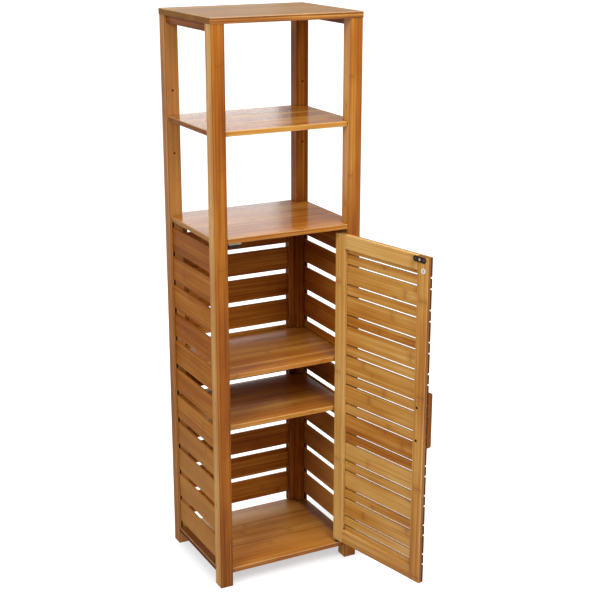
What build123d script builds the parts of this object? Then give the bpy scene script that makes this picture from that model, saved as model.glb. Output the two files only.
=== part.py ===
from build123d import *
import math
import os

os.makedirs("parts", exist_ok=True)

# Millimetres. X runs to the right along the front, the front faces -Y, Z is up,
# and the origin is on the floor under the middle of the cabinet.

# Overall size over the posts, and the height of the top board's upper face
cabinet_width = 386.0
cabinet_depth = 304.0
cabinet_height = 1400.0

# Square posts, which are also the feet
post_side = 33.5
post_rounding = 2.0
foot_chamfer = 1.0

# Top board, and the two rails under its ends
top_thickness = 14.7
top_overhang = 1.0
top_rounding = 2.0
top_rail_height = 18.8
top_rail_thickness = 12.0
top_rail_setback = 5.5
tenon_length = 10.0
tenon_shoulder = 3.0
mortice_clearance = 0.2

# Boards: thickness, underside above the floor, setbacks from the posts' outer faces
board_thickness = 12.0
board_rounding = 1.5
bottom_board_underside = 32.5
bottom_board_front_setback = 6.0
bottom_board_side_setback = 2.5
lower_shelf_underside = 409.0
upper_shelf_underside = 540.0
inner_shelf_clearance = 0.5
cabinet_top_underside = 885.0
cabinet_top_front_setback = 2.5
cabinet_top_side_setback = 3.6
open_shelf_underside = 1133.2
open_shelf_front_setback = 10.0
open_shelf_side_setback = 4.5
fixed_notch_clearance = 0.3
loose_notch_clearance = 0.8

# Shelf pins, and the rows of holes for the open shelf
pin_radius = 2.5
pin_length = 16.0
pin_hole_depth = 8.2
pin_chamfer = 0.5
pin_seat_gap = 0.1
hole_pitch = 76.5
hole_clearance = 0.05

# Dowels
dowel_radius = 3.0
dowel_length = 30.0
dowel_hole_depth = 15.5
top_dowel_radius = 4.0
top_dowel_depth_in_post = 20.0
top_dowel_depth_in_board = 9.0

# Slats of the two sides, held in grooves in the posts
side_slat_height = 60.2
side_slat_gap = 14.0
side_slat_thickness = 5.0
side_slat_setback = 5.5
side_slat_top_gap = 16.1

# Back panel: two grooved stiles beside the back posts, and slats
back_slat_height = 60.0
back_slat_gap = 11.5
back_slat_thickness = 5.0
back_slat_top_gap = 39.2
back_stile_width = 17.0
back_stile_depth = 20.0
back_stile_setback = 1.0

# Grooves and slat edges
groove_depth = 6.0
groove_clearance = 0.2
groove_end_clearance = 0.5
slat_bevel = 0.6

# Door, closed: gaps round it and how far its slats sit behind the posts' front faces
door_hinge_gap = 3.8
door_free_gap = 3.0
door_gap_below = 7.5
door_gap_above = 10.2
door_setback = 3.6
door_frame_thickness = 9.0
door_stile_width = 34.0
door_rail_height = 35.0
door_corner_rounding = 1.5
door_arris_rounding = 0.8
door_tenon_thickness = 3.0
door_tenon_length = 12.0
door_slat_thickness = 6.0
wide_slat_height = 46.2
door_slat_gap = 4.5
door_slat_pairs = 10

# Door pivots: axis from the hinge edge and from the inner face, and the rest angle
pivot_inset = 10.5
pivot_inner_depth = 5.5
pivot_pin_radius = 2.0
pivot_pin_reach = 12.0
pivot_seat_depth = 8.0
pivot_collar_radius = 4.5
upper_collar_height = 2.0
bush_radius = 3.2
bush_length = 13.0
bush_flange_height = 1.0
pivot_running_clearance = 0.05
pivot_end_gap = 0.3
swing_clearance = 1.5
door_open_angle = 103.0

# Handle, placed by its middle from the door's free edge
handle_from_free_edge = 23.7
handle_width = 15.0
handle_projection = 31.0
handle_height = 139.0
handle_corner_radius = 4.0
handle_edge_rounding = 1.5
finger_arch_height = 62.0
finger_arch_depth = 18.5
handle_screw_offset = 2.8
handle_screw_radius = 2.0
handle_screw_depth = 15.0
handle_screw_head_radius = 3.4
handle_screw_head_height = 2.2
handle_screw_recess_radius = 3.6
handle_screw_recess_depth = 5.0

# Catch plate on the door's top rail and magnetic catch under the board above it
plate_length = 40.0
plate_height = 14.0
plate_thickness = 1.5
plate_from_free_edge = 27.2
plate_from_door_top = 8.3
plate_screw_spacing = 26.0
plate_screw_radius = 1.5
plate_screw_depth = 6.0
plate_screw_head_radius = 2.8
plate_screw_head_height = 1.0
plate_hole_radius = 2.0
catch_width = 33.0
catch_depth = 15.0
catch_height = 16.0
catch_offset = -2.5
catch_gap = 0.3
catch_rounding = 1.5
magnet_width = 14.0
magnet_depth = 9.0
magnet_height = 6.0
magnet_lift = 1.0
catch_screw_spacing = 23.0
catch_screw_radius = 1.75
catch_screw_depth = 8.0
catch_screw_head_radius = 3.0
catch_screw_head_height = 2.0

# Round bumper on the door's free stile
bumper_radius = 6.5
bumper_thickness = 1.2
bumper_dimple_radius = 3.2
bumper_dimple_depth = 0.5
bumper_from_free_edge = 15.0
bumper_from_door_top = 33.9

# Places that follow from the sizes above
outer_x = cabinet_width / 2
outer_y = cabinet_depth / 2
inner_x = outer_x - post_side
inner_y = outer_y - post_side
post_x = outer_x - post_side / 2
post_y = outer_y - post_side / 2
post_top = cabinet_height - top_thickness
bottom_board_top = bottom_board_underside + board_thickness
slat_outer_x = outer_x - side_slat_setback
slat_inner_x = slat_outer_x - side_slat_thickness
stile_back_y = outer_y - back_stile_setback
stile_front_y = stile_back_y - back_stile_depth
stile_inner_x = inner_x - back_stile_width
back_slat_y = (stile_front_y + stile_back_y) / 2

door_thickness = door_frame_thickness + door_slat_thickness
door_width = 2 * inner_x - door_hinge_gap - door_free_gap
door_bottom = bottom_board_top + door_gap_below
door_top = cabinet_top_underside - door_gap_above
door_middle = (door_bottom + door_top) / 2

# One more wide slat than narrow ones; the narrow ones share what the others leave
wide_slats_total = (door_slat_pairs + 1) * wide_slat_height
slat_gaps_total = 2 * door_slat_pairs * door_slat_gap
narrow_slat_height = (door_top - door_bottom - wide_slats_total - slat_gaps_total) / door_slat_pairs
hinge_edge_x = inner_x - door_hinge_gap
door_face_y = -outer_y + door_setback + door_thickness
pivot_x = hinge_edge_x - pivot_inset
pivot_y = door_face_y - pivot_inner_depth
pivot_axis = Axis((pivot_x, pivot_y, 0), (0, 0, 1))
handle_along = door_width - handle_from_free_edge
finger_arch_radius = (finger_arch_height**2 / 4 + finger_arch_depth**2) / (2 * finger_arch_depth)
plate_along = door_width - plate_from_free_edge
plate_z = door_top - plate_from_door_top
bumper_along = door_width - bumper_from_free_edge
bumper_z = door_top - bumper_from_door_top

# The inner shelves stay behind the circle that the door's hinge edge sweeps
inner_shelf_front = pivot_y + math.hypot(pivot_inset, pivot_inner_depth) + swing_clearance

catch_x = hinge_edge_x - plate_along + catch_offset
catch_front_y = door_face_y + plate_thickness + catch_gap
catch_bottom = cabinet_top_underside - catch_height

nodes = {}


def block(xs, ys, zs):
    x0, x1 = sorted(xs)
    y0, y1 = sorted(ys)
    z0, z1 = sorted(zs)
    middle = Pos((x0 + x1) / 2, (y0 + y1) / 2, (z0 + z1) / 2)
    return middle * Box(x1 - x0, y1 - y0, z1 - z0)


def rod(start, direction, radius, length):
    ends = (Align.CENTER, Align.CENTER, Align.MIN)
    return Plane(origin=start, z_dir=direction) * Cylinder(radius, length, align=ends)


def corners():
    return [(side, end) for side in (-1, 1) for end in (-1, 1)]


# Slat bands from the top down: upper edges of as many as fit
def band_tops(first_top, lowest, height, gap):
    count = int((first_top - lowest + gap) // (height + gap))
    return [first_top - index * (height + gap) for index in range(count)]


side_slat_tops = band_tops(
    cabinet_top_underside - side_slat_top_gap, bottom_board_top, side_slat_height, side_slat_gap
)
back_slat_tops = band_tops(
    cabinet_top_underside - back_slat_top_gap, bottom_board_top, back_slat_height, back_slat_gap
)

# Heights of the pin rows: three for the open shelf, one under each inner shelf
open_shelf_pin_z = open_shelf_underside - pin_radius - pin_seat_gap
lower_shelf_pin_z = lower_shelf_underside - pin_radius - pin_seat_gap
upper_shelf_pin_z = upper_shelf_underside - pin_radius - pin_seat_gap
pin_hole_rows = [open_shelf_pin_z + step * hole_pitch for step in (-1, 0, 1)]
pin_hole_rows += [lower_shelf_pin_z, upper_shelf_pin_z]
fixed_board_rows = [
    bottom_board_underside + board_thickness / 2,
    cabinet_top_underside + board_thickness / 2,
]


# A post's mortice and a rail's tenon share one size, grown by the clearance for the mortice
def rail_tenon(side, end, clearance):
    near = outer_x - top_rail_setback - tenon_shoulder + clearance
    far = outer_x - top_rail_setback - top_rail_thickness + tenon_shoulder - clearance
    low = post_top - top_rail_height + tenon_shoulder - clearance
    high = post_top - tenon_shoulder + clearance
    return block(
        (side * near, side * far),
        (end * inner_y, end * (inner_y + tenon_length + clearance)),
        (low, high),
    )


def post(side, end):
    solid = block((side * inner_x, side * outer_x), (end * inner_y, end * outer_y), (0, post_top))
    solid = fillet(solid.edges().filter_by(Axis.Z), post_rounding)
    solid = chamfer(solid.faces().sort_by(Axis.Z)[0].edges(), foot_chamfer)
    groove = block(
        (side * (slat_inner_x - groove_clearance), side * (slat_outer_x + groove_clearance)),
        (end * inner_y, end * (inner_y + groove_depth)),
        (bottom_board_top, cabinet_top_underside),
    )
    solid -= groove
    for z in pin_hole_rows:
        mouth = (side * post_x, end * inner_y, z)
        solid -= rod(mouth, (0, end, 0), pin_radius + hole_clearance, pin_hole_depth)
    for z in fixed_board_rows:
        mouth = (side * post_x, end * inner_y, z)
        solid -= rod(mouth, (0, end, 0), dowel_radius, dowel_hole_depth)
    dowel_mouth = (side * post_x, end * post_y, post_top)
    solid -= rod(dowel_mouth, (0, 0, -1), top_dowel_radius, top_dowel_depth_in_post)
    solid -= rail_tenon(side, end, mortice_clearance)
    return solid


def top_board():
    half_x = outer_x + top_overhang
    half_y = outer_y + top_overhang
    solid = block((-half_x, half_x), (-half_y, half_y), (post_top, cabinet_height))
    solid = fillet(solid.edges().filter_by(Axis.Z), top_rounding)
    solid = fillet(solid.faces().sort_by(Axis.Z)[-1].edges(), top_rounding)
    for side, end in corners():
        mouth = (side * post_x, end * post_y, post_top)
        solid -= rod(mouth, (0, 0, 1), top_dowel_radius, top_dowel_depth_in_board)
    return solid


def top_rail(side):
    outer = outer_x - top_rail_setback
    solid = block(
        (side * outer, side * (outer - top_rail_thickness)),
        (-inner_y, inner_y),
        (post_top - top_rail_height, post_top),
    )
    lower_edges = solid.edges().filter_by(Axis.Y).group_by(Axis.Z)[0]
    solid = fillet(lower_edges, board_rounding)
    for end in (-1, 1):
        solid += rail_tenon(side, end, 0)
    return solid


# A board with its four corners cut out round the posts
def notched_board(half_width, front, back, underside, clearance):
    top = underside + board_thickness
    solid = block((-half_width, half_width), (front, back), (underside, top))
    long_edges = solid.edges().filter_by(Axis.X) + solid.edges().filter_by(Axis.Y)
    solid = fillet(long_edges, board_rounding)
    for side, end in corners():
        solid -= block(
            (side * (inner_x - clearance), side * (outer_x + clearance)),
            (end * (inner_y - clearance), end * (outer_y + clearance)),
            (underside, top),
        )
    return solid


def fixed_board(front_setback, side_setback, underside):
    half_depth = outer_y - front_setback
    half_width = outer_x - side_setback
    solid = notched_board(half_width, -half_depth, half_depth, underside, fixed_notch_clearance)
    for side, end in corners():
        mouth = (side * post_x, end * inner_y, underside + board_thickness / 2)
        solid -= rod(mouth, (0, -end, 0), dowel_radius, dowel_hole_depth)
    return solid


def inner_shelf(underside):
    half_width = slat_inner_x - inner_shelf_clearance
    back = stile_front_y - inner_shelf_clearance
    return notched_board(half_width, inner_shelf_front, back, underside, loose_notch_clearance)


# Four pins, half in the posts and half under the shelf
def shelf_pins(z):
    pins = []
    for side, end in corners():
        start = (side * post_x, end * (inner_y + pin_length / 2), z)
        pin = rod(start, (0, -end, 0), pin_radius, pin_length)
        pins.append(chamfer(pin.edges().filter_by(GeomType.CIRCLE), pin_chamfer))
    return Compound(pins)


def top_board_dowels():
    length = top_dowel_depth_in_post + top_dowel_depth_in_board
    starts = [
        (side * post_x, end * post_y, post_top - top_dowel_depth_in_post) for side, end in corners()
    ]
    return Compound([rod(start, (0, 0, 1), top_dowel_radius, length) for start in starts])


def fixed_board_dowels():
    dowels = []
    for side, end in corners():
        for z in fixed_board_rows:
            start = (side * post_x, end * (inner_y + dowel_length / 2), z)
            dowels.append(rod(start, (0, -end, 0), dowel_radius, dowel_length))
    return Compound(dowels)


def side_slats(side):
    reach = inner_y + groove_depth - groove_end_clearance
    slats = []
    for top in side_slat_tops:
        slat = block(
            (side * slat_inner_x, side * slat_outer_x), (-reach, reach), (top - side_slat_height, top)
        )
        slats.append(chamfer(slat.edges().filter_by(Axis.Y), slat_bevel))
    return Compound(slats)


def back_slats():
    reach = stile_inner_x + groove_depth - groove_end_clearance
    half = back_slat_thickness / 2
    slats = []
    for top in back_slat_tops:
        slat = block(
            (-reach, reach), (back_slat_y - half, back_slat_y + half), (top - back_slat_height, top)
        )
        slats.append(chamfer(slat.edges().filter_by(Axis.X), slat_bevel))
    return Compound(slats)


def back_stile(side):
    heights = (bottom_board_top, cabinet_top_underside)
    solid = block((side * stile_inner_x, side * inner_x), (stile_front_y, stile_back_y), heights)
    inner_edges = solid.edges().filter_by(Axis.Z).filter_by_position(
        Axis.X, side * stile_inner_x - 1, side * stile_inner_x + 1
    )
    solid = chamfer(inner_edges, slat_bevel)
    half = back_slat_thickness / 2 + groove_clearance
    groove = block(
        (side * stile_inner_x, side * (stile_inner_x + groove_depth)),
        (back_slat_y - half, back_slat_y + half),
        heights,
    )
    return solid - groove


# Door pieces are laid out closed: along runs from the hinge edge to the free edge and
# outward from the inner face to the front. The rest pose turns them about the pivots.
def door_block(along, outward, heights):
    return block(
        [hinge_edge_x - value for value in along],
        [door_face_y - value for value in outward],
        heights,
    )


def door_rod(along, outward, z, radius, length):
    start = (hinge_edge_x - along, door_face_y - outward, z)
    return rod(start, (0, -1, 0), radius, length)


def opened(shape):
    return shape.rotate(pivot_axis, door_open_angle)


# The handle's screws go through the narrow slats above and below the door's middle
handle_screw_reach = (
    wide_slat_height / 2 + door_slat_gap + narrow_slat_height / 2 + handle_screw_offset
)
handle_screw_rows = [door_middle - handle_screw_reach, door_middle + handle_screw_reach]


def handle_screw(z):
    head_start = handle_screw_recess_depth - handle_screw_head_height
    head = door_rod(handle_along, head_start, z, handle_screw_head_radius, handle_screw_head_height)
    shank_length = door_thickness + handle_screw_depth - handle_screw_recess_depth
    shank = door_rod(
        handle_along, handle_screw_recess_depth, z, handle_screw_radius, shank_length
    )
    return head + shank


def handle_screw_hole(z):
    length = door_thickness + handle_screw_depth
    hole = door_rod(handle_along, 0, z, handle_screw_radius, length)
    recess = door_rod(handle_along, 0, z, handle_screw_recess_radius, handle_screw_recess_depth)
    return hole + recess


handle_screw_holes = [handle_screw_hole(z) for z in handle_screw_rows]


def bush_hole(mouth_z, up):
    return rod((pivot_x, pivot_y, mouth_z), (0, 0, up), bush_radius, bush_length)


# The rails' tenons, grown by the clearance for the stiles' mortices
def door_tenon(along, length, rail_bottom, clearance):
    low = (door_frame_thickness - door_tenon_thickness) / 2 - clearance
    high = (door_frame_thickness + door_tenon_thickness) / 2 + clearance
    margin = door_frame_thickness / 2 - clearance
    heights = (rail_bottom + margin, rail_bottom + door_rail_height - margin)
    return door_block((along, along + length), (low, high), heights)


rail_bottoms = (door_bottom, door_top - door_rail_height)
free_stile_along = door_width - door_stile_width


def plate_screw_places():
    half = plate_screw_spacing / 2
    return [plate_along - half, plate_along + half]


# The catch plate lies across the joint of the top rail and the free stile
def plate_pilot_holes():
    return [
        door_rod(along, 0, plate_z, plate_screw_radius, plate_screw_depth)
        for along in plate_screw_places()
    ]


# The long edges of the inner face are rounded, more at the door's outer edge
def door_stile(along, edge_side):
    solid = door_block(
        (along, along + door_stile_width), (0, door_frame_thickness), (door_bottom, door_top)
    )
    inner_edges = solid.faces().sort_by(Axis.Y)[-1].edges().filter_by(Axis.Z).sort_by(Axis.X)
    outer_edge = inner_edges[edge_side]
    arris = inner_edges[-1 - edge_side]
    solid = fillet(outer_edge, door_corner_rounding)
    arris = solid.edges().sort_by_distance(arris.center())[0]
    return fillet(arris, door_arris_rounding)


def door_hinge_stile():
    solid = door_stile(0, -1)
    solid -= bush_hole(door_bottom, 1)
    solid -= bush_hole(door_top, -1)
    for bottom in rail_bottoms:
        solid -= door_tenon(
            door_stile_width, -door_tenon_length - mortice_clearance, bottom, mortice_clearance
        )
    return solid


def door_free_stile():
    solid = door_stile(free_stile_along, 0)
    for bottom in rail_bottoms:
        solid -= door_tenon(
            free_stile_along, door_tenon_length + mortice_clearance, bottom, mortice_clearance
        )
    for hole in handle_screw_holes + plate_pilot_holes():
        solid -= hole
    return solid


def door_rail(bottom):
    solid = door_block(
        (door_stile_width, free_stile_along),
        (0, door_frame_thickness),
        (bottom, bottom + door_rail_height),
    )
    inner_edges = solid.faces().sort_by(Axis.Y)[-1].edges().filter_by(Axis.X)
    solid = fillet(inner_edges, door_arris_rounding)
    solid += door_tenon(door_stile_width, -door_tenon_length, bottom, 0)
    solid += door_tenon(free_stile_along, door_tenon_length, bottom, 0)
    for hole in plate_pilot_holes():
        solid -= hole
    return solid


def door_slat(top, height):
    solid = door_block(
        (0, door_width), (door_frame_thickness, door_thickness), (top - height, top)
    )
    front_edges = solid.faces().sort_by(Axis.Y)[0].edges()
    solid = chamfer(front_edges, slat_bevel)
    for hole in handle_screw_holes:
        solid -= hole
    return solid


# Wide and narrow slats take turns, a wide one first and last
def door_slats():
    slats = {}
    top = door_top
    for index in range(1, 2 * door_slat_pairs + 2):
        wide = index % 2 == 1
        height = wide_slat_height if wide else narrow_slat_height
        name = "door_wide_slat" if wide else "door_narrow_slat"
        slats[f"{name}_{(index + 1) // 2:02d}"] = door_slat(top, height)
        top -= height + door_slat_gap
    return slats


# A bridge with two feet and an arch between them for the fingers
def door_handle():
    outline = Pos(door_thickness + handle_projection / 2, 0) * Rectangle(
        handle_projection, handle_height
    )
    outer_corners = outline.vertices().group_by(Axis.X)[-1]
    outline = fillet(outer_corners, handle_corner_radius)
    outline -= Pos(door_thickness + finger_arch_depth - finger_arch_radius, 0) * Circle(
        finger_arch_radius
    )
    side_plane = Plane(
        origin=(hinge_edge_x - handle_along + handle_width / 2, door_face_y, door_middle),
        x_dir=(0, -1, 0),
        z_dir=(-1, 0, 0),
    )
    solid = extrude(side_plane * outline, handle_width)
    foot_y = door_face_y - door_thickness
    rims = [
        edge
        for edge in solid.edges()
        if abs(edge.tangent_at(0.5).X) < 0.5 and edge.center().Y < foot_y - 0.1
    ]
    solid = fillet(rims, handle_edge_rounding)
    for hole in handle_screw_holes:
        solid -= hole
    return solid


def catch_plate():
    outline = SlotOverall(plate_length, plate_height)
    face_plane = Plane(
        origin=(hinge_edge_x - plate_along, door_face_y, plate_z), x_dir=(1, 0, 0), z_dir=(0, -1, 0)
    )
    solid = extrude(face_plane * outline, -plate_thickness)
    solid -= door_rod(plate_along, -plate_thickness, plate_z, plate_hole_radius, plate_thickness)
    for along in plate_screw_places():
        solid -= plate_screw(along)
    return solid


def plate_screw(along):
    head = door_rod(
        along, -plate_thickness, plate_z, plate_screw_head_radius, plate_screw_head_height
    )
    length = plate_thickness + plate_screw_depth
    return head + door_rod(along, -plate_thickness, plate_z, plate_screw_radius, length)


def door_bumper():
    solid = door_rod(bumper_along, -bumper_thickness, bumper_z, bumper_radius, bumper_thickness)
    solid -= door_rod(
        bumper_along, -bumper_thickness, bumper_z, bumper_dimple_radius, bumper_dimple_depth
    )
    return solid


def magnet_block():
    half = magnet_width / 2
    low = catch_bottom + magnet_lift
    return block(
        (catch_x - half, catch_x + half),
        (catch_front_y, catch_front_y + magnet_depth),
        (low, low + magnet_height),
    )


def catch_screw(side):
    x = catch_x + side * catch_screw_spacing / 2
    y = catch_front_y + catch_depth / 2
    head = rod((x, y, catch_bottom), (0, 0, 1), catch_screw_head_radius, catch_screw_head_height)
    length = catch_height + catch_screw_depth
    return head + rod((x, y, catch_bottom), (0, 0, 1), catch_screw_radius, length)


def magnetic_catch():
    half = catch_width / 2
    solid = block(
        (catch_x - half, catch_x + half),
        (catch_front_y, catch_front_y + catch_depth),
        (catch_bottom, cabinet_top_underside),
    )
    solid = fillet(solid.edges().filter_by(Axis.Z), catch_rounding)
    solid -= magnet_block()
    for side in (-1, 1):
        solid -= catch_screw(side)
    return solid


# A pin pressed into a board, with a collar against the board, and the tip in the door's bush
def pivot(board_face, up, collar_height, tip):
    seat = (pivot_x, pivot_y, board_face - up * pivot_seat_depth)
    pin = rod(seat, (0, 0, up), pivot_pin_radius, pivot_seat_depth + abs(tip - board_face))
    collar = rod((pivot_x, pivot_y, board_face), (0, 0, up), pivot_collar_radius, collar_height)
    return pin + collar


def pivot_bush(door_end, into):
    tube = rod((pivot_x, pivot_y, door_end), (0, 0, into), bush_radius, bush_length)
    flange = rod(
        (pivot_x, pivot_y, door_end), (0, 0, -into), pivot_collar_radius, bush_flange_height
    )
    bore_start = (pivot_x, pivot_y, door_end - into * bush_flange_height)
    bore_length = bush_flange_height + bush_length
    bore = rod(bore_start, (0, 0, into), pivot_pin_radius + pivot_running_clearance, bore_length)
    return tube + flange - bore


lower_collar_height = door_gap_below - bush_flange_height - pivot_end_gap

side_names = {-1: "left", 1: "right"}
end_names = {-1: "front", 1: "back"}

for side, end in corners():
    nodes[f"post_{end_names[end]}_{side_names[side]}"] = post(side, end)

nodes["top_board"] = top_board()
nodes["top_board_dowels"] = top_board_dowels()
nodes["fixed_board_dowels"] = fixed_board_dowels()
nodes["back_slats"] = back_slats()
for side in (-1, 1):
    nodes[f"top_rail_{side_names[side]}"] = top_rail(side)
    nodes[f"side_slats_{side_names[side]}"] = side_slats(side)
    nodes[f"back_stile_{side_names[side]}"] = back_stile(side)

bottom_board = fixed_board(
    bottom_board_front_setback, bottom_board_side_setback, bottom_board_underside
)
bottom_board -= rod(
    (pivot_x, pivot_y, bottom_board_top), (0, 0, -1), pivot_pin_radius, pivot_seat_depth
)
nodes["bottom_board"] = bottom_board

cabinet_top = fixed_board(
    cabinet_top_front_setback, cabinet_top_side_setback, cabinet_top_underside
)
cabinet_top -= rod(
    (pivot_x, pivot_y, cabinet_top_underside), (0, 0, 1), pivot_pin_radius, pivot_seat_depth
)
for side in (-1, 1):
    cabinet_top -= catch_screw(side)
nodes["cabinet_top_board"] = cabinet_top

open_half_depth = outer_y - open_shelf_front_setback
nodes["open_shelf"] = notched_board(
    outer_x - open_shelf_side_setback,
    -open_half_depth,
    open_half_depth,
    open_shelf_underside,
    loose_notch_clearance,
)
nodes["open_shelf_pins"] = shelf_pins(open_shelf_pin_z)
nodes["upper_inner_shelf"] = inner_shelf(upper_shelf_underside)
nodes["upper_shelf_pins"] = shelf_pins(upper_shelf_pin_z)
nodes["lower_inner_shelf"] = inner_shelf(lower_shelf_underside)
nodes["lower_shelf_pins"] = shelf_pins(lower_shelf_pin_z)

nodes["magnetic_catch"] = magnetic_catch()
nodes["catch_magnet"] = magnet_block()
nodes["catch_screws"] = Compound([catch_screw(side) for side in (-1, 1)])
nodes["lower_pivot"] = pivot(
    bottom_board_top, 1, lower_collar_height, door_bottom + pivot_pin_reach
)
nodes["upper_pivot"] = pivot(
    cabinet_top_underside, -1, upper_collar_height, door_top - pivot_pin_reach
)

door_pieces = {
    "door_hinge_stile": door_hinge_stile(),
    "door_free_stile": door_free_stile(),
    "door_bottom_rail": door_rail(rail_bottoms[0]),
    "door_top_rail": door_rail(rail_bottoms[1]),
    "door_handle": door_handle(),
    "handle_screws": Compound([handle_screw(z) for z in handle_screw_rows]),
    "catch_plate": catch_plate(),
    "catch_plate_screws": Compound([plate_screw(along) for along in plate_screw_places()]),
    "door_bumper": door_bumper(),
    "lower_pivot_bush": pivot_bush(door_bottom, 1),
    "upper_pivot_bush": pivot_bush(door_top, -1),
}
door_pieces.update(door_slats())
for name, shape in door_pieces.items():
    nodes[name] = opened(shape)

for name, shape in nodes.items():
    export_step(shape, f"parts/{name}.step")
print(len(nodes), "nodes")
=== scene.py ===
import math
import bpy
import bmesh
from mathutils import Matrix, Vector


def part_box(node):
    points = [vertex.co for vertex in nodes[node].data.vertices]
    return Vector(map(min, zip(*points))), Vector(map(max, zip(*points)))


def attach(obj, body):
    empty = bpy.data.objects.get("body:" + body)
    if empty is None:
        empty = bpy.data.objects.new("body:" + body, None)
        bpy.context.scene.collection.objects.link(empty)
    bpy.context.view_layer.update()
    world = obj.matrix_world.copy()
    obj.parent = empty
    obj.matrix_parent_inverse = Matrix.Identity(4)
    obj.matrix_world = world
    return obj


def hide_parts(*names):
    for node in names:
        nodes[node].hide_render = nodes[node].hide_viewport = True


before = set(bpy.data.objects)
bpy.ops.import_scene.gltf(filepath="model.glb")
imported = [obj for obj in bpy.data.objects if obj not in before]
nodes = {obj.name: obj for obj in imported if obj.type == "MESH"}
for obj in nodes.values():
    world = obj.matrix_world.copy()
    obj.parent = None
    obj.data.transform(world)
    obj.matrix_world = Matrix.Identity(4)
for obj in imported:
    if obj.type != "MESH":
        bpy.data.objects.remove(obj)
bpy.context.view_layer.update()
scene = bpy.context.scene
print("frame loaded:", len(nodes), "pieces")

# The door stands open, so its pieces have directions of their own
door = {
    "angle": 283,  # degrees from the cabinet's right, seen from above
    "corner": (0.13748, -0.12991, 0),  # the hinge edge of its inner face, on the floor
}
right = Vector((1, 0, 0))
back = Vector((0, 1, 0))
up = Vector((0, 0, 1))
doorAngle = math.radians(door["angle"])
doorWay = Vector((math.cos(doorAngle), math.sin(doorAngle), 0))  # from the hinge to the free edge
doorOut = Vector((-math.sin(doorAngle), math.cos(doorAngle), 0))  # out of the slatted face
doorCorner = Vector(door["corner"])

# Lacquered bamboo: lengths in metres, colours linear
bamboo = {
    # from the darkest fibres to the palest ones
    "tones": [(0.0, (0.190, 0.046, 0.005)), (0.25, (0.345, 0.100, 0.010)), (0.5, (0.500, 0.190, 0.024)),
              (0.75, (0.640, 0.320, 0.068)), (1.0, (0.760, 0.460, 0.150))],
    # fibres per metre along the grain and across it, and how much they change the tone
    "fine": {"along": 7, "across": 950, "detail": 2, "change": 0.50},
    "broad": {"along": 2.2, "across": 170, "detail": 3, "change": 0.86},
    "cloud": {"along": 3.5, "across": 15, "detail": 2, "change": 0.75},
    "noiseRoughness": 0.55,
    "stripChange": 0.22,  # how much one glued strip differs from the next in tone
    "stripShift": 3.7,  # how far its pattern may be moved along
    "seam": {"start": 0.478, "end": 0.5, "darkness": 0.16},  # in widths of a strip, from its middle
    # the rings where the cane's nodes were, with a darker stretch beside them
    "nodeSpacing": 0.235,
    "ringWidth": 0.0045,
    "ringSway": 0.022,
    "ringChance": (0.30, 0.75),  # strips below the first show no rings, and above the second full ones
    "ringDarkness": 0.28,
    "haloWidths": (0.001, 0.020),
    "haloFibres": (0.35, 0.6),
    "haloDarkness": 0.42,
    "ring": (0.15, 0.036, 0.006),
    "halo": (0.33, 0.085, 0.012),
    # the lacquer
    "roughness": 0.20,
    "broadRoughness": 0.16,
    "cloudRoughness": 0.10,
    "endRoughness": 0.25,
    "endDullness": 0.85,
    "bumpStrength": 0.5,
    "bumpHeight": 0.00022,
    "relief": {"fine": 0.55, "broad": 0.45, "seam": -0.5, "ring": 0.5},
    # where a face counts as an edge or an end, and a corner as rounded, by how far it leans
    "squareOn": (0.6, 0.95),
    "rounding": (0.12, 0.42),
    "paintedArrisHighlight": (0.80, 0.56, 0.27),
    "paintedLowLightHeights": (0.1, 0.95),  # between these the painted light and shade near the floor fades out
    "tintBottom": 0.2,
    "darkEndPlaces": (0.150, 0.172),  # from the middle of the cabinet to either side
    "shade": (0.135, 0.030, 0.006),
    # painted shade in gaps, grooves, holes and between parts, where ambient occlusion finds other surfaces
    # close
    "paintedCreviceShade": {"colour": (0.030, 0.009, 0.002), "reach": 0.009, "open": (0.10, 0.80), "darkness": 0.85,
                "samples": 4},
}

# What a wooden piece may have of its own, with the usual values
woodLook = {
    "tone": 0.4,  # 0 is the darkest and 1 the palest
    "paintedSideLight": 0.0,  # painted light and shade on the faces that look across the width: lighter above 0, darker below
    "paintedLowLight": 0.0,  # painted light and shade near the floor, not on the sides: lighter above 0 for the floor's light, darker below 0 where less light reaches
    "vary": 1.0,  # how strongly the tone changes
    "gloss": 0.4,
    "smoother": 0.0,  # taken off the roughness
    "stripWidth": 0.02,
    "stripDepth": 0.006,
    "ends": (0.13, 0.045, 0.012),  # the cut fibres
    "endMix": 0.72,
    "darkEnds": 0.0,  # how deep the shade is at both ends of a board
    "arris": 0.0,  # the rounded corners: darker above 0, and paler below 0 as a painted highlight
    "tint": None,
    "tintMix": 0.0,
    "edgeClear": 0.0,  # the share of the tint that the faces with painted side light are spared
    "tintTop": None,  # the height where the tint ends
}


def wire(tree, target, value):
    if isinstance(value, bpy.types.NodeSocket):
        tree.links.new(value, target)
    else:
        target.default_value = value


def mathNode(tree, operation, *values):
    node = tree.nodes.new("ShaderNodeMath")
    node.operation = operation
    for target, value in zip(node.inputs, values):
        wire(tree, target, value)
    return node.outputs[0]


def rangeNode(tree, value, low, high, start=0.0, end=1.0):
    node = tree.nodes.new("ShaderNodeMapRange")
    node.interpolation_type = "SMOOTHSTEP"
    settings = {"Value": value, "From Min": low, "From Max": high, "To Min": start, "To Max": end}
    for name, item in settings.items():
        wire(tree, node.inputs[name], item)
    return node.outputs["Result"]


def mixColours(tree, factor, first, second):
    node = tree.nodes.new("ShaderNodeMix")
    node.data_type = "RGBA"
    wire(tree, node.inputs["Factor"], factor)
    for name, colour in (("A", first), ("B", second)):
        wire(tree, node.inputs[name], colour if isinstance(colour, bpy.types.NodeSocket) else (*colour, 1))
    return node.outputs["Result"]


def rampNode(tree, value, stops):
    node = tree.nodes.new("ShaderNodeValToRGB")
    ramp = node.color_ramp
    while len(ramp.elements) < len(stops):
        ramp.elements.new(0.5)
    for element, (place, colour) in zip(ramp.elements, stops):
        element.position = place
        element.color = (*colour, 1)
    wire(tree, node.inputs["Fac"], value)
    return node.outputs["Color"]


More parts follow.
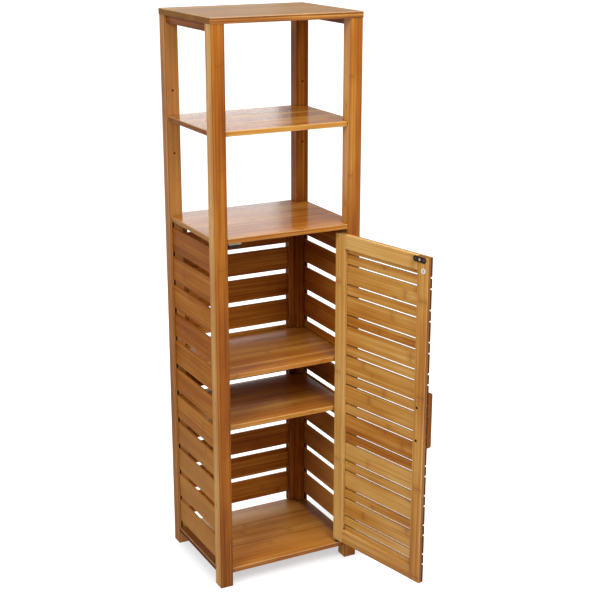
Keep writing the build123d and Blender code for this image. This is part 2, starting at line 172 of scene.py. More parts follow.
def splitNode(tree, vector):
    node = tree.nodes.new("ShaderNodeSeparateXYZ")
    wire(tree, node.inputs[0], vector)
    return node.outputs


def joinNode(tree, parts):
    node = tree.nodes.new("ShaderNodeCombineXYZ")
    for target, part in zip(node.inputs, parts):
        wire(tree, target, part)
    return node.outputs[0]


def fibreNoise(tree, along, across, depth, fibres):
    # a noise drawn out along the grain
    scales = (fibres["along"], fibres["across"], fibres["across"])
    parts = [mathNode(tree, "MULTIPLY", part, scale) for part, scale in zip((along, across, depth), scales)]
    noise = tree.nodes.new("ShaderNodeTexNoise")
    noise.inputs["Scale"].default_value = 1
    noise.inputs["Detail"].default_value = fibres["detail"]
    noise.inputs["Roughness"].default_value = bamboo["noiseRoughness"]
    wire(tree, noise.inputs["Vector"], joinNode(tree, parts))
    return noise.outputs["Fac"]


def fromMiddle(tree, value):
    # how far a value lies from the middle of its own whole step, up to a half
    return mathNode(tree, "ABSOLUTE", mathNode(tree, "SUBTRACT", mathNode(tree, "FRACT", value), 0.5))


def makeBambooGroup():
    group = bpy.data.node_groups.new("bambooGrain", "ShaderNodeTree")
    sockets = group.interface
    sockets.new_socket("Vector", in_out="INPUT", socket_type="NodeSocketVector")
    for name in ("Seed", "Tone", "StripWidth", "StripDepth", "Vary"):
        sockets.new_socket(name, in_out="INPUT", socket_type="NodeSocketFloat")
    sockets.new_socket("Color", in_out="OUTPUT", socket_type="NodeSocketColor")
    for name in ("Roughness", "Height"):
        sockets.new_socket(name, in_out="OUTPUT", socket_type="NodeSocketFloat")
    given = group.nodes.new("NodeGroupInput").outputs
    along, across, depth = splitNode(group, given["Vector"])

    # glued strips, each with its own tone and its own place for the rings
    row = mathNode(group, "ADD", mathNode(group, "DIVIDE", across, given["StripWidth"]), given["Seed"])
    layer = mathNode(group, "ADD", mathNode(group, "DIVIDE", depth, given["StripDepth"]), given["Seed"])
    strip = (mathNode(group, "FLOOR", row), mathNode(group, "FLOOR", layer), given["Seed"])
    chance = group.nodes.new("ShaderNodeTexWhiteNoise")
    wire(group, chance.inputs["Vector"], joinNode(group, strip))
    toneChance, ringChance, shiftChance = splitNode(group, chance.outputs["Color"])

    # fibres that are shifted with their strip, and a cloud that runs over all of them
    shift = mathNode(group, "MULTIPLY", shiftChance, bamboo["stripShift"])
    moved = mathNode(group, "ADD", along, shift)
    fine = fibreNoise(group, moved, across, depth, bamboo["fine"])
    broad = fibreNoise(group, moved, across, depth, bamboo["broad"])
    cloud = fibreNoise(group, along, across, depth, bamboo["cloud"])

    spacing = bamboo["nodeSpacing"]
    sway = mathNode(group, "MULTIPLY", broad, bamboo["ringSway"])
    turn = mathNode(group, "ADD", mathNode(group, "DIVIDE", moved, spacing), sway)
    toRing = mathNode(group, "MULTIPLY", fromMiddle(group, turn), spacing)
    shows = rangeNode(group, ringChance, *bamboo["ringChance"])
    ring = mathNode(group, "MULTIPLY", rangeNode(group, toRing, 0.0, bamboo["ringWidth"], 1, 0), shows)
    halo = mathNode(group, "MULTIPLY", rangeNode(group, toRing, *bamboo["haloWidths"], 1, 0), shows)

    change = 0.0
    changes = ((toneChance, bamboo["stripChange"]), (broad, bamboo["broad"]["change"]),
               (fine, bamboo["fine"]["change"]), (cloud, bamboo["cloud"]["change"]))
    for noise, strength in changes:
        change = mathNode(group, "MULTIPLY_ADD", mathNode(group, "SUBTRACT", noise, 0.5), strength, change)
    tone = mathNode(group, "MULTIPLY_ADD", change, given["Vary"], given["Tone"])
    colour = rampNode(group, tone, bamboo["tones"])
    blotch = mathNode(group, "MULTIPLY", halo, rangeNode(group, fine, *bamboo["haloFibres"]))
    seam = rangeNode(group, fromMiddle(group, row), bamboo["seam"]["start"], bamboo["seam"]["end"])
    marks = ((blotch, bamboo["haloDarkness"], bamboo["halo"]),
             (ring, bamboo["ringDarkness"], bamboo["ring"]),
             (seam, bamboo["seam"]["darkness"], bamboo["ring"]))
    for mark, darkness, mixed in marks:
        colour = mixColours(group, mathNode(group, "MULTIPLY", mark, darkness), colour, mixed)

    relief = bamboo["relief"]
    height = mathNode(group, "MULTIPLY", broad, relief["broad"])
    for mark, rise in ((fine, relief["fine"]), (seam, relief["seam"]), (ring, relief["ring"])):
        height = mathNode(group, "MULTIPLY_ADD", mark, rise, height)
    rough = mathNode(group, "MULTIPLY_ADD", broad, bamboo["broadRoughness"], bamboo["roughness"])
    rough = mathNode(group, "MULTIPLY_ADD", cloud, bamboo["cloudRoughness"], rough)
    result = group.nodes.new("NodeGroupOutput").inputs
    wire(group, result["Color"], colour)
    wire(group, result["Roughness"], rough)
    wire(group, result["Height"], height)
    return group


bambooGroup = makeBambooGroup()


def newMaterial(name):
    material = bpy.data.materials.new(name)
    material.use_nodes = True
    tree = material.node_tree
    return material, tree, tree.nodes["Principled BSDF"]


def addBump(tree, shader, height, strength, distance):
    bump = tree.nodes.new("ShaderNodeBump")
    bump.inputs["Strength"].default_value = strength
    bump.inputs["Distance"].default_value = distance
    wire(tree, bump.inputs["Height"], height)
    wire(tree, shader.inputs["Normal"], bump.outputs[0])


def layGrain(tree, place, along, across, seed, look):
    # the mapping brings the grain onto X and the face's width onto Y
    mapping = tree.nodes.new("ShaderNodeMapping")
    mapping.inputs["Rotation"].default_value = Matrix((along, across, along.cross(across))).to_euler()
    wire(tree, mapping.inputs["Vector"], place["Object"])
    grain = tree.nodes.new("ShaderNodeGroup")
    grain.node_tree = bambooGroup
    wire(tree, grain.inputs["Vector"], mapping.outputs[0])
    settings = {"Seed": seed, "StripWidth": look["stripWidth"], "StripDepth": look["stripDepth"],
                "Vary": look["vary"]}
    for name, value in settings.items():
        grain.inputs[name].default_value = value
    return grain


def leaning(tree, place, way):
    # 1 where the surface faces this way or the opposite one, and 0 where it runs along it
    facing = tree.nodes.new("ShaderNodeVectorMath")
    facing.operation = "DOT_PRODUCT"
    wire(tree, facing.inputs[0], place["Normal"])
    facing.inputs[1].default_value = way
    return mathNode(tree, "ABSOLUTE", facing.outputs["Value"])


def paintedShadeInCrevices(tree):
    paintedCreviceShade = bamboo["paintedCreviceShade"]
    node = tree.nodes.new("ShaderNodeAmbientOcclusion")
    node.samples = paintedCreviceShade["samples"]
    node.inputs["Distance"].default_value = paintedCreviceShade["reach"]
    return rangeNode(tree, node.outputs["AO"], *paintedCreviceShade["open"], paintedCreviceShade["darkness"], 0.0)


def makeBamboo(name, along, across, seed, **own):
    look = {**woodLook, **own}
    material, tree, shader = newMaterial(name)
    place = tree.nodes.new("ShaderNodeTexCoord").outputs
    grain = layGrain(tree, place, along, across, seed, look)
    spot = splitNode(tree, place["Object"])
    toEdge = leaning(tree, place, across)
    toEnd = leaning(tree, place, along)
    toFace = leaning(tree, place, along.cross(across))
    # the faces across the width, which get the painted side light and shade
    paintedLightSides = rangeNode(tree, toEdge, *bamboo["squareOn"])
    onEnd = rangeNode(tree, toEnd, *bamboo["squareOn"])

    # painted light and shade near the floor, kept off the sides
    low = rangeNode(tree, spot["Z"], *bamboo["paintedLowLightHeights"], look["paintedLowLight"], 0.0)
    low = mathNode(tree, "MULTIPLY", low, mathNode(tree, "SUBTRACT", 1.0, paintedLightSides))
    level = mathNode(tree, "MULTIPLY_ADD", paintedLightSides, look["paintedSideLight"], look["tone"])
    wire(tree, grain.inputs["Tone"], mathNode(tree, "ADD", level, low))
    colour = grain.outputs["Color"]
    if look["tint"]:
        full = look["tintMix"]
        share = mathNode(tree, "MULTIPLY_ADD", paintedLightSides, -full * look["edgeClear"], full)
        if look["tintTop"]:
            fade = rangeNode(tree, spot["Z"], bamboo["tintBottom"], look["tintTop"], 1.0, 0.0)
            share = mathNode(tree, "MULTIPLY", share, fade)
        colour = mixColours(tree, share, colour, look["tint"])

    # the ends of the fibres are darker and duller
    colour = mixColours(tree, mathNode(tree, "MULTIPLY", onEnd, look["endMix"]), colour, look["ends"])
    dull = onEnd
    if look["darkEnds"]:
        sideways = mathNode(tree, "ABSOLUTE", spot["X"])
        nearEnd = rangeNode(tree, sideways, *bamboo["darkEndPlaces"], 0.0, look["darkEnds"])
        colour = mixColours(tree, nearEnd, colour, bamboo["shade"])
        dull = mathNode(tree, "MAXIMUM", onEnd, nearEnd)
    # rounded corners are darkened, or lightened as a painted highlight
    if look["arris"]:
        corner = mathNode(tree, "MULTIPLY", mathNode(tree, "MAXIMUM", toEdge, toEnd), toFace)
        corner = rangeNode(tree, corner, *bamboo["rounding"], 0.0, abs(look["arris"]))
        colour = mixColours(tree, corner, colour, bamboo["ring"] if look["arris"] > 0 else bamboo["paintedArrisHighlight"])
    # painted shade: the colour darkens in gaps, grooves, holes and between parts
    colour = mixColours(tree, paintedShadeInCrevices(tree), colour, bamboo["paintedCreviceShade"]["colour"])
    wire(tree, shader.inputs["Base Color"], colour)

    rough = mathNode(tree, "SUBTRACT", grain.outputs["Roughness"], look["smoother"])
    rough = mathNode(tree, "MULTIPLY_ADD", onEnd, bamboo["endRoughness"], rough)
    wire(tree, shader.inputs["Roughness"], rough)
    addBump(tree, shader, grain.outputs["Height"], bamboo["bumpStrength"], bamboo["bumpHeight"])
    gloss = look["gloss"]
    shine = mathNode(tree, "MULTIPLY_ADD", dull, -bamboo["endDullness"] * gloss, gloss)
    wire(tree, shader.inputs["Specular IOR Level"], shine)
    return material


def dress(name, material):
    slots = nodes[name].data.materials
    if len(slots) == 0:
        slots.append(material)
    for index in range(len(slots)):
        slots[index] = material


def dressBamboo(name, along, across, seed, **own):
    dress(name, makeBamboo(name, along, across, seed, **own))


# Every wooden piece is dressed with the way of its grain, the way of its width, a seed and its look
# The four posts are one bamboo: their different tones and side tones are painted light and shade on each
# post
posts = {
    "post_front_left": {"seed": 3.1, "tone": 0.39, "paintedSideLight": 0.27, "paintedLowLight": -0.13, "gloss": 0.22},
    "post_front_right": {"seed": 5.8, "tone": 0.29, "paintedSideLight": 0.19, "gloss": 0.3},
    "post_back_left": {"seed": 8.5, "tone": 0.41, "paintedSideLight": -0.04, "gloss": 0.12,
                       "tint": (0.62, 0.33, 0.118), "tintMix": 0.4, "edgeClear": 1.0},
    "post_back_right": {"seed": 11.2, "tone": 0.07, "paintedSideLight": 0.11, "gloss": 0.05},
}
for name, look in posts.items():
    dressBamboo(name, up, right, stripWidth=0.0168, stripDepth=0.0067, arris=0.55, **look)

boards = {
    "top_board": {"seed": 1.3, "tone": 0.40, "paintedSideLight": -0.10, "gloss": 0.45, "ends": (0.19, 0.066, 0.011),
                  "tint": (0.37, 0.222, 0.072), "tintMix": 0.5, "edgeClear": 0.8, "vary": 2.2,
                  "arris": -0.45},
    "open_shelf": {"seed": 4.7, "tone": 0.50, "paintedSideLight": 0.04, "ends": (0.15, 0.036, 0.008), "arris": -0.4,
                   "smoother": 0.16},
    "cabinet_top_board": {"seed": 7.9, "tone": 0.45, "paintedSideLight": -0.08, "gloss": 0.45, "endMix": 0.8,
                          "ends": (0.42, 0.19, 0.055), "arris": -0.45, "smoother": 0.17},
    "upper_inner_shelf": {"seed": 9.4, "tone": 0.46, "paintedSideLight": 0.08, "arris": -0.3},
    "lower_inner_shelf": {"seed": 12.2, "tone": 0.46, "paintedSideLight": 0.08, "arris": -0.3},
    "bottom_board": {"seed": 15.8, "tone": 0.54, "paintedSideLight": -0.24, "ends": (0.15, 0.075, 0.032),
                     "darkEnds": 0.85, "arris": -0.55},
}
for name, look in boards.items():
    dressBamboo(name, right, back, stripWidth=0.0195, stripDepth=0.0061, **look)

# The two sides differ by their seed alone
sides = {
    "top_rail": {"along": back, "across": up, "seed": 21.3, "tone": 0.13, "gloss": 0.05},
    "side_slats": {"along": back, "across": up, "seed": 24.6, "tone": 0.28, "gloss": 0.03, "paintedLowLight": 0.10,
                   "vary": 0.7, "tint": (0.54, 0.28, 0.086), "tintMix": 0.4, "tintTop": 0.5},
    "back_stile": {"along": up, "across": right, "seed": 27.2, "tone": 0.30, "gloss": 0.2},
}
for name, look in sides.items():
    dressBamboo(f"{name}_left", **look)
    dressBamboo(f"{name}_right", **{**look, "seed": look["seed"] + 1})
dressBamboo("back_slats", right, up, 31.5, tone=0.34, gloss=0.1)

doorFrame = {
    "door_hinge_stile": {"along": up, "across": doorWay, "seed": 41.7, "tone": 0.88},
    "door_free_stile": {"along": up, "across": doorWay, "seed": 45.0, "tone": 0.62, "paintedSideLight": -0.36},
    "door_top_rail": {"along": doorWay, "across": up, "seed": 48.3, "tone": 0.76, "paintedSideLight": 0.3},
    "door_bottom_rail": {"along": doorWay, "across": up, "seed": 51.6, "tone": 0.66},
}
for name, look in doorFrame.items():
    dressBamboo(name, stripWidth=0.034, arris=-0.4, **look)

doorSlats = {
    "seed": 60.3,
    "seedStep": 1.37,
    "tone": 0.72,
    "toneSwing": 0.07,
    "toneTurn": 2.4,  # radians from one slat to the next
    "dark": (0, 1, 5, 8, 12, 13, 17),  # counted from the top
    "darker": 0.17,
    "look": {"stripWidth": 0.023, "ends": (0.045, 0.026, 0.010), "endMix": 0.9},
}
slatNames = [name for name in nodes if name.startswith("door_") and "_slat_" in name]
slatNames.sort(key=lambda name: -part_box(name)[0].z)
for count, name in enumerate(slatNames):
    tone = doorSlats["tone"] + doorSlats["toneSwing"] * math.sin(count * doorSlats["toneTurn"])
    if count in doorSlats["dark"]:
        tone -= doorSlats["darker"]
    seed = doorSlats["seed"] + doorSlats["seedStep"] * count
    dressBamboo(name, doorWay, up, seed, tone=tone, **doorSlats["look"])
dressBamboo("door_handle", up, doorWay, 97.1, tone=0.06, gloss=0.15, stripWidth=0.0075)
dressBamboo("top_board_dowels", up, right, 101.9, tone=0.75)
dressBamboo("fixed_board_dowels", back, right, 101.9, tone=0.75)
print("bamboo pieces dressed")

# Metal and plastic: grain is how many grains of the surface lie in a metre
finishes = {
    "zincPlatedSteel": {"colour": (0.62, 0.62, 0.60), "roughness": 0.32, "metallic": 1.0, "grain": 900},
    # dark bronze, kept dark partly as painted shade for screw heads deep in their recesses
    "darkBronzeAndShade": {"colour": (0.075, 0.040, 0.024), "roughness": 0.45, "metallic": 0.7, "grain": 900},
    "dimSteel": {"colour": (0.20, 0.165, 0.165), "roughness": 0.42, "metallic": 0.8, "grain": 900},
    "paleSteel": {"colour": (0.86, 0.78, 0.68), "roughness": 0.38, "metallic": 0.4, "grain": 900},
    "brassBush": {"colour": (0.62, 0.44, 0.18), "roughness": 0.35, "metallic": 1.0, "grain": 900},
    "darkMagnet": {"colour": (0.05, 0.035, 0.03), "roughness": 0.5, "metallic": 0.5, "grain": 1200},
    "blackPlate": {"colour": (0.026, 0.012, 0.010), "roughness": 0.38, "metallic": 0.0, "grain": 1400},
    "whitePlastic": {"colour": (0.93, 0.92, 0.88), "roughness": 0.34, "metallic": 0.0, "grain": 700},
    "greyPlastic": {"colour": (0.50, 0.49, 0.44), "roughness": 0.42, "metallic": 0.0, "grain": 700},
    "palePlastic": {"colour": (0.95, 0.93, 0.86), "roughness": 0.38, "metallic": 0.0, "grain": 700},
    # a dark brown that stands in as painted shade for the catch housing under the shelf
    "shadeBrownPlastic": {"colour": (0.060, 0.022, 0.008), "roughness": 0.60, "metallic": 0.0, "grain": 700},
}
surface = {"detail": 4, "darkest": 0.72, "roughnessSpan": 0.2, "bumpStrength": 0.25, "bumpHeight": 0.00005}


def makePlain(name, colour, roughness, metallic, grain):
    material, tree, shader = newMaterial(name)
    place = tree.nodes.new("ShaderNodeTexCoord").outputs
    noise = tree.nodes.new("ShaderNodeTexNoise")
    noise.inputs["Scale"].default_value = grain
    noise.inputs["Detail"].default_value = surface["detail"]
    wire(tree, noise.inputs["Vector"], place["Object"])
    speckle = noise.outputs["Fac"]
    darker = tuple(part * surface["darkest"] for part in colour)
    wire(tree, shader.inputs["Base Color"], mixColours(tree, speckle, darker, colour))
    span = surface["roughnessSpan"]
    rough = mathNode(tree, "MULTIPLY_ADD", speckle, span, roughness - span / 2)
    wire(tree, shader.inputs["Roughness"], rough)
    addBump(tree, shader, speckle, surface["bumpStrength"], surface["bumpHeight"])
    shader.inputs["Metallic"].default_value = metallic
    return material


plain = {name: makePlain(name, **look) for name, look in finishes.items()}
hardware = {
    "open_shelf_pins": "zincPlatedSteel",
    "upper_shelf_pins": "zincPlatedSteel",
    "lower_shelf_pins": "zincPlatedSteel",
    "lower_pivot": "darkBronzeAndShade",
    "upper_pivot": "darkBronzeAndShade",
    "lower_pivot_bush": "brassBush",
    "upper_pivot_bush": "brassBush",
    "catch_plate": "blackPlate",
    "catch_magnet": "darkMagnet",
}
for name, finish in hardware.items():
    dress(name, plain[finish])

mergeDistance = 0.000001
cutDistance = 0.0000001


def newPiece(name, shape, place, body, node, material):
    # a piece in its own frame is set into place; its object stays at the origin
    bmesh.ops.remove_doubles(shape, verts=shape.verts, dist=mergeDistance)
    bmesh.ops.recalc_face_normals(shape, faces=shape.faces)
    bmesh.ops.transform(shape, matrix=place, verts=shape.verts)
    mesh = bpy.data.meshes.new(name)
    shape.to_mesh(mesh)
    shape.free()
    mesh.materials.append(material)
    piece = bpy.data.objects.new(name, mesh)
    scene.collection.objects.link(piece)
    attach(piece, body)
    if node:
        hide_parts(node)


def spun(shape, profile, segments):
    # a closed outline of radius and height, turned round Z
    verts = [shape.verts.new((radius, 0, height)) for radius, height in profile]
    edges = [shape.edges.new(pair) for pair in zip(verts, verts[1:])]
    bmesh.ops.spin(shape, geom=verts + edges, cent=(0, 0, 0), axis=(0, 0, 1), angle=2 * math.pi,
                   steps=segments, use_merge=True)
    bmesh.ops.remove_doubles(shape, verts=shape.verts, dist=mergeDistance)


def cutThrough(shape, point, way):
    geometry = shape.verts[:] + shape.edges[:] + shape.faces[:]
    bmesh.ops.bisect_plane(shape, geom=geometry, plane_co=point, plane_no=way, dist=cutDistance)


def pushIn(shape, faces, way):
    # faces are moved by the way given, and walls grow round them
    pushed = bmesh.ops.extrude_face_region(shape, geom=faces)
    bmesh.ops.delete(shape, geom=faces, context="FACES")
    moved = [item for item in pushed["geom"] if isinstance(item, bmesh.types.BMVert)]
    bmesh.ops.translate(shape, verts=moved, vec=way)


def doorPlace(along, out, height):
    # a frame on the door whose Z looks out of its inner face
    spot = doorCorner + doorWay * along + doorOut * out + up * height
    turn = Matrix((doorWay, up, -doorOut)).transposed().to_4x4()
    return Matrix.Translation(spot) @ turn


# A screw's cross and rim are shares of the head's radius and rise
cross = {"crown": 0.84, "rim": 0.3, "halfWidth": 0.11, "reach": 0.58, "depth": 0.55, "segments": 40}
screws = {
    "handle": {"along": 0.2885, "out": 0.0028, "heights": (0.42177, 0.50502),
               "head": 0.0034, "rise": 0.0022, "shank": 0.002, "length": 0.0272},
    "plate": {"alongs": (0.272, 0.298), "out": -0.0015, "height": 0.8665, "turns": (0.5, 0.9),
              "head": 0.0028, "rise": 0.0010, "shank": 0.0015, "length": 0.0075},
    "catch": {"places": (-0.1433, -0.1203), "y": -0.1241, "height": 0.869,
              "head": 0.003, "rise": 0.002, "shank": 0.00175, "length": 0.024},
}


def crossScrew(shape, screw, place):
    # a round head whose top is at 0 and whose shank runs down, with a cross sunk into the head
    head, rise, shank, length = (screw[name] for name in ("head", "rise", "shank", "length"))
    rim = cross["rim"] * rise
    part = bmesh.new()
    spun(part, [(0, 0), (head * cross["crown"], 0), (head, -rim), (head, -rise), (shank, -rise),
                (shank, -length), (0, -length)], cross["segments"])
    half, reach = head * cross["halfWidth"], head * cross["reach"]
    for way in (right, back):
        for where in (-reach, -half, half, reach):
            cutThrough(part, way * where, way)

    def inCross(face):
        middle = face.calc_center_median()
        wide, tall = abs(middle.x), abs(middle.y)
        onTop = middle.z > -rim / 5
        return onTop and min(wide, tall) < half and max(wide, tall) < reach

    pushIn(part, [face for face in part.faces if inCross(face)], (0, 0, -rise * cross["depth"]))
    bmesh.ops.transform(part, matrix=place, verts=part.verts)
    mesh = bpy.data.meshes.new("screwPart")
    part.to_mesh(mesh)
    part.free()
    shape.from_mesh(mesh)
    bpy.data.meshes.remove(mesh)


def makeScrews(name, screw, places, body, node, finish):
    shape = bmesh.new()
    for place in places:
        crossScrew(shape, screw, place)
    newPiece(name, shape, Matrix(), body, node, plain[finish])


def makeAllScrews():
    screw = screws["handle"]
    places = [doorPlace(screw["along"], screw["out"], height) for height in screw["heights"]]
    # the handle screws' heads are dark partly as painted shade in their deep recesses
    makeScrews("handleScrewHeads", screw, places, "door", "handle_screws", "darkBronzeAndShade")
    screw = screws["plate"]
    places = [doorPlace(along, screw["out"], screw["height"]) @ Matrix.Rotation(turn, 4, "Z")
              for along, turn in zip(screw["alongs"], screw["turns"])]
    makeScrews("plateScrewHeads", screw, places, "door", "catch_plate_screws", "dimSteel")
    screw = screws["catch"]
    headDown = Matrix.Rotation(math.pi, 4, "X")
    places = [Matrix.Translation((x, screw["y"], screw["height"])) @ headDown for x in screw["places"]]
    makeScrews("catchScrewHeads", screw, places, "cabinet", "catch_screws", "zincPlatedSteel")


makeAllScrews()

# The bumper: a white ring round a grey pad, on the door's free stile
bumper = {
    "along": 0.2972,
    "height": 0.8409,
    "radius": 0.0065,
    "thick": 0.0012,
    "dimple": 0.0030,
    "sunk": 0.0005,
    "lip": 0.35,  # a share of the thickness
    "lipRound": 0.3,  # a share of the lip
    "padSide": 0.7,  # a share of the pad's height
    "padTop": 0.8,  # a share of the dimple's radius
    "segments": 48,
}


def makeBumper():
    radius, thick, dimple = bumper["radius"], bumper["thick"], bumper["dimple"]
    lip = thick * bumper["lip"]
    soft = lip * bumper["lipRound"]
    place = doorPlace(bumper["along"], 0, bumper["height"])
    shape = bmesh.new()
    spun(shape, [(dimple, 0), (radius, 0), (radius, thick - lip), (radius - soft, thick - soft),
                 (radius - lip, thick), (dimple + lip, thick), (dimple, thick - lip), (dimple, 0)],
         bumper["segments"])
    newPiece("bumperRing", shape, place, "door", "door_bumper", plain["whitePlastic"])
    top = thick - bumper["sunk"]
    shape = bmesh.new()
    spun(shape, [(0, 0), (dimple, 0), (dimple, top * bumper["padSide"]), (dimple * bumper["padTop"], top),
                 (0, top)], bumper["segments"])
    newPiece("bumperPad", shape, place, "door", None, plain["greyPlastic"])


makeBumper()

# A bright eyelet in the middle hole of the catch plate
eyelet = {"along": 0.285, "height": 0.8665, "hole": 0.0012, "neck": 0.0019, "edge": 0.0031, "under": 0.0002,
          "seat": 0.00151, "stands": 0.0017, "holeRound": 0.0003, "edgeRound": 0.0002, "segments": 48}


def makeEyelet():
    hole, neck, edge = eyelet["hole"], eyelet["neck"], eyelet["edge"]
    under, seat, stands = eyelet["under"], eyelet["seat"], eyelet["stands"]
    inside, outside = eyelet["holeRound"], eyelet["edgeRound"]
    shape = bmesh.new()
    spun(shape, [(hole, under), (neck, under), (neck, seat), (edge, seat), (edge - outside, stands),
                 (hole + inside, stands), (hole, stands - inside), (hole, under)], eyelet["segments"])
    place = doorPlace(eyelet["along"], 0, eyelet["height"])
    newPiece("plateEyelet", shape, place, "door", None, plain["paleSteel"])


makeEyelet()

# The magnetic catch: a pale flange against the board and a housing under it, open round the magnet; the
# housing's dark brown is painted shade
catch = {
    "x": -0.1318,
    "front": -0.1316,
    "wide": 0.033,
    "deep": 0.015,
    "low": 0.869,
    "middle": 0.876,  # where the housing meets the flange
    "high": 0.885,
    "inset": 0.0010,
    "rounding": 0.0015,
    "segments": 4,
    "mouth": {"left": -0.1388, "right": -0.1248, "low": 0.870, "high": 0.876, "depth": 0.009},
}


def catchBlock(wide, low, high):
    # a block with its four upright edges rounded
    shape = bmesh.new()
    deep = catch["deep"]
    verts = bmesh.ops.create_cube(shape, size=1)["verts"]
    bmesh.ops.scale(shape, verts=verts, vec=(wide, deep, high - low))
    bmesh.ops.translate(shape, verts=verts, vec=(catch["x"], catch["front"] + deep / 2, (low + high) / 2))
    upright = [edge for edge in shape.edges
               if abs(edge.verts[0].co.z - edge.verts[1].co.z) > (high - low) / 2]
    bmesh.ops.bevel(shape, geom=upright, offset=catch["rounding"], segments=catch["segments"], profile=0.5,
                    affect="EDGES", material=-1)
    return shape


def makeCatch():
    flange = catchBlock(catch["wide"], catch["middle"], catch["high"])
    newPiece("catchFlange", flange, Matrix(), "cabinet", "magnetic_catch",
             plain["palePlastic"])

    # the housing is cut where the magnet's mouth is, and the mouth is pushed in
    housing = catchBlock(catch["wide"] - catch["inset"] * 2, catch["low"], catch["middle"])
    mouth = catch["mouth"]
    for x in (mouth["left"], mouth["right"]):
        cutThrough(housing, right * x, right)
    for z in (mouth["low"], mouth["high"]):
        cutThrough(housing, up * z, up)

    def inMouth(face):
        spot = face.calc_center_median()
        inFront = spot.y < catch["front"] + catch["deep"] / 100
        return inFront and mouth["left"] < spot.x < mouth["right"] and mouth["low"] < spot.z < mouth["high"]

    pushIn(housing, [face for face in housing.faces if inMouth(face)], back * mouth["depth"])
    newPiece("catchHousing", housing, Matrix(), "cabinet", None, plain["shadeBrownPlastic"])


makeCatch()
print("metal and plastic pieces dressed")

studio = {
    "floor": {
        "size": 40.0,
        "white": 0.40,
        "roughness": 0.6,
        "gloss": 0.1,
        "glowColour": (0.965, 0.985, 1),
        "glow": 0.16,
        # added where the camera sees the floor: least near the cabinet, for its soft shadow
        "clear": 0.95,
        "shade": 0.38,
        "shadeSides": ((-0.150, 0.200), (-0.110, 0.110)),  # the deepest shadow, across and front to back
        "shadeFade": 0.13,
    },
    # the surroundings are brighter behind the cabinet than in front of it
    "world": {"front": 0.16, "back": 0.40, "change": (-0.6, 0.5)},
    "lights": {
        "key": {"place": (-2.6, -1.5, 2.7), "size": 1.6, "power": 62, "target": (0, 0, 0.9)},
        "top": {"place": (0.1, -1.2, 3.4), "size": 2.0, "power": 46, "target": (0, 0, 0.6)},
        "fill": {"place": (0.4, -2.7, 2.7), "size": 1.5, "power": 44, "target": (0, 0, 1.0)},
        # a low white wall behind, whose upper edge shows in the lacquer of the shelves
        "wall": {"place": (0.2, 2.6, 0.81), "size": 2.3, "height": 1.62, "power": 21,
                 "target": (0.2, 0, 0.81)},
    },
}


def makeFloorMaterial():
    look = studio["floor"]
    material, tree, shader = newMaterial("paleFloor")
    shader.inputs["Base Color"].default_value = (look["white"],) * 3 + (1,)
    shader.inputs["Roughness"].default_value = look["roughness"]
    shader.inputs["Specular IOR Level"].default_value = look["gloss"]
    shader.inputs["Emission Color"].default_value = (*look["glowColour"], 1)
    spot = splitNode(tree, tree.nodes.new("ShaderNodeTexCoord").outputs["Object"])
    outside = []
    for part, (low, high) in zip(("X", "Y"), look["shadeSides"]):
        away = mathNode(tree, "ABSOLUTE", mathNode(tree, "SUBTRACT", spot[part], (low + high) / 2))
        beyond = mathNode(tree, "MAXIMUM", mathNode(tree, "SUBTRACT", away, (high - low) / 2), 0.0)
        outside.append(mathNode(tree, "POWER", beyond, 2.0))
    away = mathNode(tree, "SQRT", mathNode(tree, "ADD", *outside))
    clear = rangeNode(tree, away, 0.0, look["shadeFade"], look["shade"], look["clear"])
    seen = tree.nodes.new("ShaderNodeLightPath").outputs["Is Camera Ray"]
    glow = mathNode(tree, "MULTIPLY_ADD", seen, clear, look["glow"])
    wire(tree, shader.inputs["Emission Strength"], glow)
    return material


def makeFloor():
    shape = bmesh.new()
    bmesh.ops.create_grid(shape, x_segments=4, y_segments=4, size=studio["floor"]["size"] / 2)
    mesh = bpy.data.meshes.new("studioFloor")
    shape.to_mesh(mesh)
    shape.free()
    mesh.materials.append(makeFloorMaterial())
    floor = bpy.data.objects.new("studioFloor", mesh)
    scene.collection.objects.link(floor)


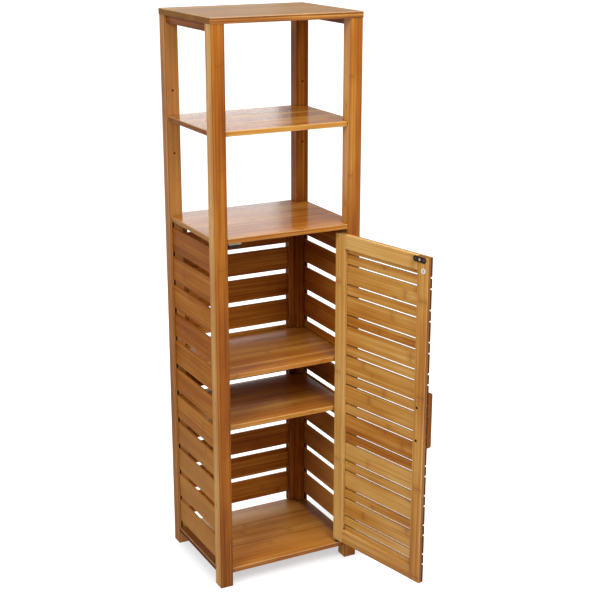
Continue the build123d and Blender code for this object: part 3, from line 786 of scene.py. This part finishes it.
def makeLight(name, settings):
    data = bpy.data.lights.new(name, "AREA")
    data.size = settings["size"]
    if "height" in settings:
        data.shape = "RECTANGLE"
        data.size_y = settings["height"]
    data.energy = settings["power"]
    light = bpy.data.objects.new(name, data)
    light.location = settings["place"]
    aim = Vector(settings["target"]) - Vector(settings["place"])
    light.rotation_euler = aim.to_track_quat("-Z", "Y").to_euler()
    light.visible_camera = False
    scene.collection.objects.link(light)


def makeWorld():
    world = bpy.data.worlds.new("studioWorld")
    scene.world = world
    world.use_nodes = True
    tree = world.node_tree
    background = tree.nodes["Background"]
    way = splitNode(tree, tree.nodes.new("ShaderNodeTexCoord").outputs["Generated"])
    look = studio["world"]
    glow = rangeNode(tree, way["Y"], *look["change"], look["front"], look["back"])
    seen = tree.nodes.new("ShaderNodeLightPath").outputs["Is Camera Ray"]  # the camera sees plain white
    wire(tree, background.inputs["Strength"], mathNode(tree, "MAXIMUM", glow, seen))
    background.inputs["Color"].default_value = (1, 1, 1, 1)


makeFloor()
makeWorld()
for name, settings in studio["lights"].items():
    makeLight(name + "Light", settings)

# The camera stands left of the cabinet and a little above it, and looks down at it
view = {
    "eye": (-1.34804, -2.78976, 1.64938),
    "turn": 27.5547,  # degrees to the right of straight at the front
    "tilt": 17.2700,  # degrees down
    "roll": 0.0496,
    "lens": 77.600,  # millimetres, as the sensor's width is
    "sensor": 36,
    "farthest": 100,
}


def makeCamera():
    data = bpy.data.cameras.new("photoCamera")
    data.sensor_width = view["sensor"]
    data.lens = view["lens"]
    data.clip_end = view["farthest"]
    camera = bpy.data.objects.new("photoCamera", data)
    camera.location = view["eye"]
    turned = Matrix.Rotation(-math.radians(view["turn"]), 3, "Z")
    tilted = Matrix.Rotation(math.radians(90 - view["tilt"]), 3, "X")
    rolled = Matrix.Rotation(math.radians(view["roll"]), 3, "Z")
    camera.rotation_euler = (turned @ tilted @ rolled).to_euler()
    scene.collection.objects.link(camera)
    scene.camera = camera


makeCamera()
scene.view_settings.view_transform = "Standard"
print("studio, lights and camera made")
